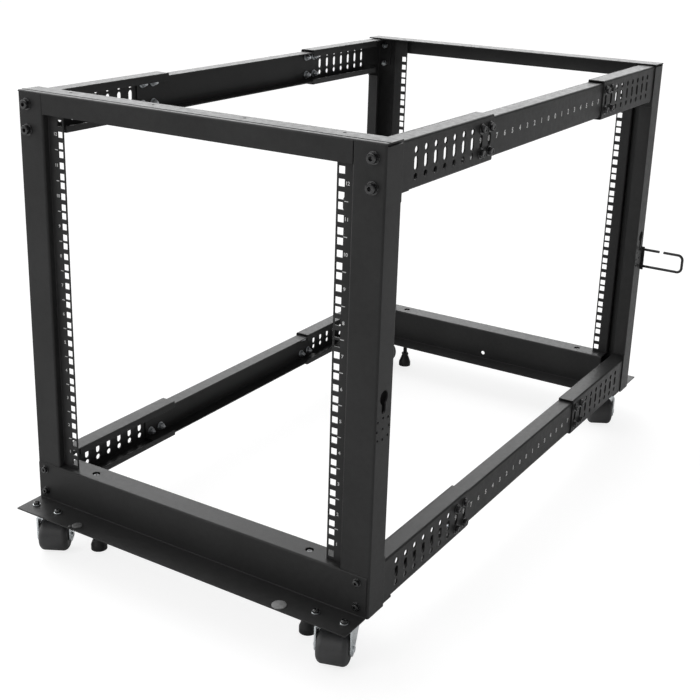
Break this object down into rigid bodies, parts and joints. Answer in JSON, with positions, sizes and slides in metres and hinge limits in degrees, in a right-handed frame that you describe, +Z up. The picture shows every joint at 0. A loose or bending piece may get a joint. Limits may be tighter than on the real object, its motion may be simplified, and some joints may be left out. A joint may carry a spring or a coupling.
{
  "type": "four post open frame rack",
  "caption": "Open frame 19-inch equipment rack: four folded steel posts on hat-section bases with telescoping side rails, swivel casters and levelling feet.",
  "frame": {"origin": "on the floor, under the middle of the rack", "axes": "+X to the right seen from the front, +Y from front to rear, +Z up"},
  "size_m": [0.759, 1.097, 0.7004],
  "materials": {
    "black_steel": "satin powder coat",
    "black_wire": "satin",
    "zinc": "bright zinc plate",
    "wheel_plastic": "matte",
    "foot_plastic": "matte"
  },
  "bodies": {
    "frame": {"post_front_right": "black_steel", "post_front_left": "black_steel", "post_rear_right": "black_steel", "post_rear_left": "black_steel", "top_beam_front": "black_steel", "top_beam_rear": "black_steel", "base_front": "black_steel", "base_rear": "black_steel", "rail_end_upper_front_right": "black_steel", "rail_end_upper_front_left": "black_steel", "rail_end_upper_rear_right": "black_steel", "rail_end_upper_rear_left": "black_steel", "rail_middle_upper_right": "black_steel", "rail_middle_upper_left": "black_steel", "rail_end_lower_front_right": "black_steel", "rail_end_lower_front_left": "black_steel", "rail_end_lower_rear_right": "black_steel", "rail_end_lower_rear_left": "black_steel", "rail_middle_lower_right": "black_steel", "rail_middle_lower_left": "black_steel", "foot_bracket_front_right": "black_steel", "caster_plate_front_right": "zinc", "foot_bracket_front_left": "black_steel", "caster_plate_front_left": "zinc", "foot_bracket_rear_right": "black_steel", "caster_plate_rear_right": "zinc", "foot_bracket_rear_left": "black_steel", "caster_plate_rear_left": "zinc", "cable_ring_right": "black_wire", "cable_ring_left": "black_wire"},
    "caster_front_right": {"caster_fork_front_right": "zinc"},
    "wheel_front_right": {"caster_wheel_front_right": "wheel_plastic"},
    "foot_front_right_screw": {"foot_front_right": "foot_plastic"},
    "caster_front_left": {"caster_fork_front_left": "zinc"},
    "wheel_front_left": {"caster_wheel_front_left": "wheel_plastic"},
    "foot_front_left_screw": {"foot_front_left": "foot_plastic"},
    "caster_rear_right": {"caster_fork_rear_right": "zinc"},
    "wheel_rear_right": {"caster_wheel_rear_right": "wheel_plastic"},
    "foot_rear_right_screw": {"foot_rear_right": "foot_plastic"},
    "caster_rear_left": {"caster_fork_rear_left": "zinc"},
    "wheel_rear_left": {"caster_wheel_rear_left": "wheel_plastic"},
    "foot_rear_left_screw": {"foot_rear_left": "foot_plastic"}
  },
  "joints": [
    {"name": "caster_swivel_front_right", "type": "hinge", "parent": "frame", "child": "caster_front_right", "pos_m": [0.258, -0.502, 0.057], "axis": [0, 0, 1], "continuous": true},
    {"name": "wheel_spin_front_right", "type": "hinge", "parent": "caster_front_right", "child": "wheel_front_right", "pos_m": [0.26387, -0.52007, 0.025], "axis": [0.9511, 0.309, 0], "continuous": true},
    {"name": "foot_screw_front_right", "type": "slide", "parent": "frame", "child": "foot_front_right_screw", "axis": [0, 0, 1], "range_m": [-0.01, 0.03]},
    {"name": "caster_swivel_front_left", "type": "hinge", "parent": "frame", "child": "caster_front_left", "pos_m": [-0.258, -0.502, 0.057], "axis": [0, 0, 1], "continuous": true},
    {"name": "wheel_spin_front_left", "type": "hinge", "parent": "caster_front_left", "child": "wheel_front_left", "pos_m": [-0.2485, -0.51845, 0.025], "axis": [0.866, 0.5, 0], "continuous": true},
    {"name": "foot_screw_front_left", "type": "slide", "parent": "frame", "child": "foot_front_left_screw", "axis": [0, 0, 1], "range_m": [-0.01, 0.03]},
    {"name": "caster_swivel_rear_right", "type": "hinge", "parent": "frame", "child": "caster_rear_right", "pos_m": [0.258, 0.4568, 0.057], "axis": [0, 0, 1], "continuous": true},
    {"name": "wheel_spin_rear_right", "type": "hinge", "parent": "caster_rear_right", "child": "wheel_rear_right", "pos_m": [0.2675, 0.44035, 0.025], "axis": [0.866, 0.5, 0], "continuous": true},
    {"name": "foot_screw_rear_right", "type": "slide", "parent": "frame", "child": "foot_rear_right_screw", "axis": [0, 0, 1], "range_m": [-0.01, 0.03]},
    {"name": "caster_swivel_rear_left", "type": "hinge", "parent": "frame", "child": "caster_rear_left", "pos_m": [-0.258, 0.4568, 0.057], "axis": [0, 0, 1], "continuous": true},
    {"name": "wheel_spin_rear_left", "type": "hinge", "parent": "caster_rear_left", "child": "wheel_rear_left", "pos_m": [-0.23907, 0.45846, 0.025], "axis": [-0.0872, 0.9962, 0], "continuous": true},
    {"name": "foot_screw_rear_left", "type": "slide", "parent": "frame", "child": "foot_rear_left_screw", "axis": [0, 0, 1], "range_m": [-0.01, 0.03]}
  ]
}
